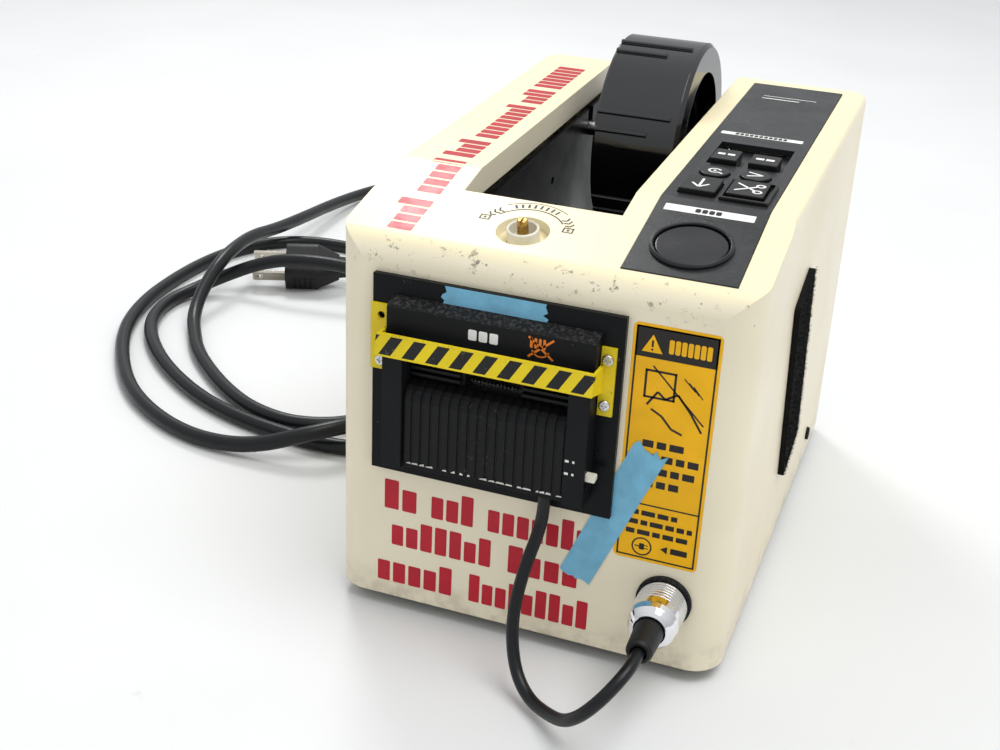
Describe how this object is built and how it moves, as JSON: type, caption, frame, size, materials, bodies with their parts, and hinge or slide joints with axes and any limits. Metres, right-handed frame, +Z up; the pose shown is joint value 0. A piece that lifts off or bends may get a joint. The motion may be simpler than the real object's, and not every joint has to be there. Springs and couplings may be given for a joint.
{
  "type": "electronic tape dispenser",
  "caption": "Bench electronic tape dispenser with a U-shaped cream casing, black tape hub, ribbed outlet nose with a striped guard, keypad, sensor lead and mains cord with plug.",
  "frame": {"origin": "centre of the bottom of the box round the machine without its cord, plug and sensor lead, on the surface that it stands on", "axes": "+X towards the keypad side, -Y is the front with the tape outlet, +Z up"},
  "size_m": [0.3369, 0.4959, 0.1656],
  "materials": {
    "cream_casing": "aged, satin",
    "black_steel": "satin black",
    "zinc_steel": "zinc plated",
    "black_plastic": "matte",
    "hub_plastic": "glossy",
    "panel_plastic": "fine texture",
    "key_plastic": "matte",
    "guard_paint": "satin yellow with black stripes",
    "rubber": "matte",
    "roller_rubber": "matte",
    "brass": "turned, tarnished",
    "white_plastic": "smooth",
    "chrome": "polished",
    "blade_steel": "ground",
    "gear_plastic": "moulded",
    "motor_steel": "satin",
    "board": "lacquered",
    "capacitor": "sleeved",
    "core_steel": "laminated",
    "cord_jacket": "satin",
    "loop_fabric": "hook-and-loop"
  },
  "bodies": {
    "casing": {"housing_shell": "cream_casing", "base_plate": "black_steel", "rubber_feet": "rubber", "rear_panel": "black_steel", "casing_screws": "zinc_steel", "side_patch": "loop_fabric", "left_side_plate": "black_steel", "right_side_plate": "black_steel", "well_tray": "black_steel", "feed_motor": "motor_steel", "motor_bracket": "zinc_steel", "lever_spring": "zinc_steel", "pressure_collar": "white_plastic", "cutter_solenoid": "motor_steel", "return_spring": "zinc_steel", "fixed_blade": "blade_steel", "nose_plate": "black_steel", "nose_block": "black_plastic", "nose_cover": "black_plastic", "tape_apron": "black_plastic", "outlet_louvres": "black_plastic", "safety_guard": "guard_paint", "guard_screws": "zinc_steel", "control_panel": "panel_plastic", "button_bezel": "key_plastic", "cut_key_guard": "key_plastic", "keypad_board": "board", "main_board": "board", "capacitors": "capacitor", "transformer": "core_steel", "power_switch": "black_plastic", "cord_gland": "rubber", "power_cord": "cord_jacket", "plug_body": "cord_jacket", "plug_blades": "brass", "socket_flange": "black_plastic", "connector_boot": "rubber", "sensor_lead": "cord_jacket"},
    "hub_axle": {"hub_axle": "chrome"},
    "tape_hub": {"tape_hub": "hub_plastic"},
    "feed_roller": {"feed_gear": "gear_plastic", "feed_shaft": "zinc_steel", "feed_roller": "roller_rubber"},
    "motor_pinion": {"motor_pinion": "brass"},
    "pressure_roller": {"pressure_roller": "gear_plastic"},
    "pressure_lever": {"pressure_lever": "zinc_steel"},
    "pressure_screw": {"pressure_screw": "brass"},
    "blade_carriage": {"blade_carriage": "zinc_steel", "moving_blade": "blade_steel", "solenoid_plunger": "zinc_steel"},
    "sensor_switch": {"sensor_switch": "white_plastic"},
    "coupling_ring": {"coupling_ring": "chrome"},
    "power_rocker": {"power_rocker": "black_plastic"},
    "auto_button": {"auto_button": "key_plastic"},
    "unit_key_coarse": {"unit_key_coarse": "key_plastic"},
    "unit_key_fine": {"unit_key_fine": "key_plastic"},
    "memory_key": {"memory_key": "key_plastic"},
    "repeat_key": {"repeat_key": "key_plastic"},
    "feed_key": {"feed_key": "key_plastic"},
    "cut_key": {"cut_key": "key_plastic"}
  },
  "joints": [
    {"name": "axle_lift", "type": "slide", "parent": "casing", "child": "hub_axle", "axis": [0, 0, 1], "range_m": [0, 0.07]},
    {"name": "hub_spin", "type": "hinge", "parent": "hub_axle", "child": "tape_hub", "pos_m": [-0.0118, 0.07175, 0.12765], "axis": [1, 0, 0], "continuous": true},
    {"name": "feed_roller_spin", "type": "hinge", "parent": "casing", "child": "feed_roller", "pos_m": [-0.0118, -0.07255, 0.082], "axis": [1, 0, 0], "continuous": true},
    {"name": "motor_spin", "type": "hinge", "parent": "casing", "child": "motor_pinion", "pos_m": [0.0201, -0.05646, 0.0685], "axis": [1, 0, 0], "continuous": true},
    {"name": "pressure_lever_swing", "type": "hinge", "parent": "casing", "child": "pressure_lever", "pos_m": [-0.0118, -0.06155, 0.105], "axis": [-1, 0, 0], "range_deg": [0, 6], "stiffness_Nm_per_rad": 0.6, "springref_deg": -5.73, "deforming": ["lever_spring"]},
    {"name": "pressure_roller_spin", "type": "hinge", "parent": "pressure_lever", "child": "pressure_roller", "pos_m": [-0.0118, -0.07255, 0.0993], "axis": [1, 0, 0], "continuous": true},
    {"name": "pressure_screw_turn", "type": "hinge", "parent": "casing", "child": "pressure_screw", "pos_m": [-0.0118, -0.07535, 0.13453], "axis": [0, -0.2173, 0.9761], "range_deg": [-180, 180]},
    {"name": "cutter_stroke", "type": "slide", "parent": "casing", "child": "blade_carriage", "axis": [0, 0, -1], "range_m": [0, 0.005], "stiffness_N_per_m": 300, "springref_m": -0.004, "deforming": ["return_spring"]},
    {"name": "sensor_switch_slide", "type": "slide", "parent": "casing", "child": "sensor_switch", "axis": [0, 0, -1], "range_m": [0, 0.0035]},
    {"name": "coupling_ring_turn", "type": "hinge", "parent": "casing", "child": "coupling_ring", "pos_m": [0.0468, -0.09255, 0.0287], "axis": [0, -1, 0], "range_deg": [0, 120]},
    {"name": "power_rocker_tilt", "type": "hinge", "parent": "casing", "child": "power_rocker", "pos_m": [0.0384, 0.10295, 0.026], "axis": [0, 0, 1], "range_deg": [0, 16]},
    {"name": "auto_button_press", "type": "slide", "parent": "casing", "child": "auto_button", "axis": [0, 0.2173, -0.9761], "range_m": [0, 0.0015], "stiffness_N_per_m": 250, "springref_m": -0.0025},
    {"name": "unit_key_coarse_press", "type": "slide", "parent": "casing", "child": "unit_key_coarse", "axis": [0, 0.0341, -0.9994], "range_m": [0, 0.0012], "stiffness_N_per_m": 250, "springref_m": -0.0025},
    {"name": "unit_key_fine_press", "type": "slide", "parent": "casing", "child": "unit_key_fine", "axis": [0, 0.0341, -0.9994], "range_m": [0, 0.0012], "stiffness_N_per_m": 250, "springref_m": -0.0025},
    {"name": "memory_key_press", "type": "slide", "parent": "casing", "child": "memory_key", "axis": [0, 0.0341, -0.9994], "range_m": [0, 0.0012], "stiffness_N_per_m": 250, "springref_m": -0.0025},
    {"name": "repeat_key_press", "type": "slide", "parent": "casing", "child": "repeat_key", "axis": [0, 0.0341, -0.9994], "range_m": [0, 0.0012], "stiffness_N_per_m": 250, "springref_m": -0.0025},
    {"name": "feed_key_press", "type": "slide", "parent": "casing", "child": "feed_key", "axis": [0, 0.0341, -0.9994], "range_m": [0, 0.0012], "stiffness_N_per_m": 250, "springref_m": -0.0025},
    {"name": "cut_key_press", "type": "slide", "parent": "casing", "child": "cut_key", "axis": [0, 0.0341, -0.9994], "range_m": [0, 0.0012], "stiffness_N_per_m": 250, "springref_m": -0.0025}
  ],
  "couplings": [
    {"joint": "motor_spin", "follows": "feed_roller_spin", "ratio": -2.5},
    {"joint": "pressure_roller_spin", "follows": "feed_roller_spin", "ratio": -1.4286}
  ]
}
